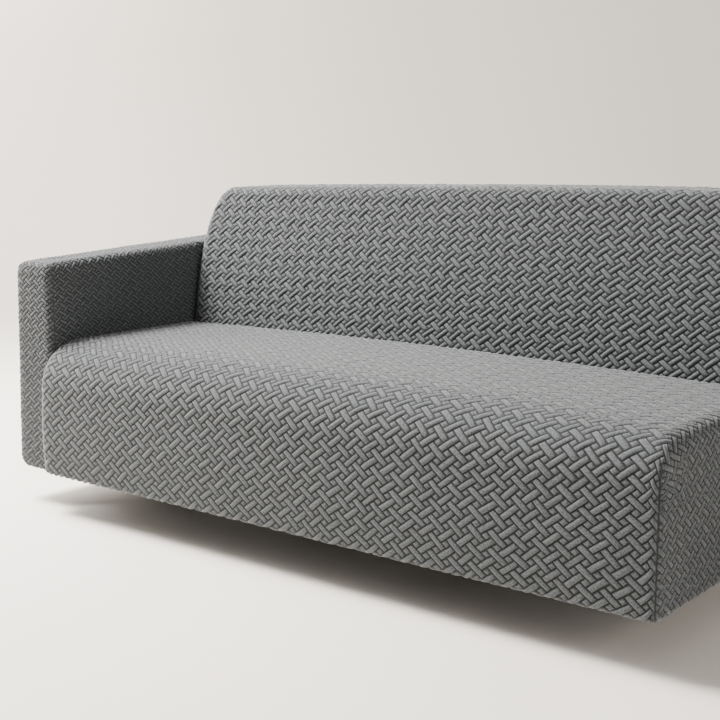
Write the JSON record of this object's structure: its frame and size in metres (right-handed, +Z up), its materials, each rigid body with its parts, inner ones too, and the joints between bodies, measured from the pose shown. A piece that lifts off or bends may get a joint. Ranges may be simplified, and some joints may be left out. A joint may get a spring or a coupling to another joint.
{
  "type": "sofa slipcover",
  "caption": "Grey stretch slipcover with a raised basket-weave pattern, fitted to a one-armed sofa: seat, back, arm and side drops in one cover, open at the hem",
  "frame": {"origin": "The underside of the cover's seat top, at the middle of its length, where the sofa inside holds the cover up", "axes": "+X runs along the sofa's length from the arm to the free end, +Y from the seat's front to the back, +Z up; the floor the sofa stands on is at Z = -0.4515"},
  "size_m": [1.8886, 0.824, 0.7514],
  "materials": {
    "grey_jacquard": "matt stretch jacquard knit with a raised basket-weave relief"
  },
  "bodies": {
    "root": {"seat_panel": "grey_jacquard", "inside_back_panel": "grey_jacquard", "outside_back_panel": "grey_jacquard", "back_end_panel": "grey_jacquard", "arm_wrap_panel": "grey_jacquard", "arm_front_panel": "grey_jacquard", "arm_rear_panel": "grey_jacquard"}
  },
  "joints": []
}
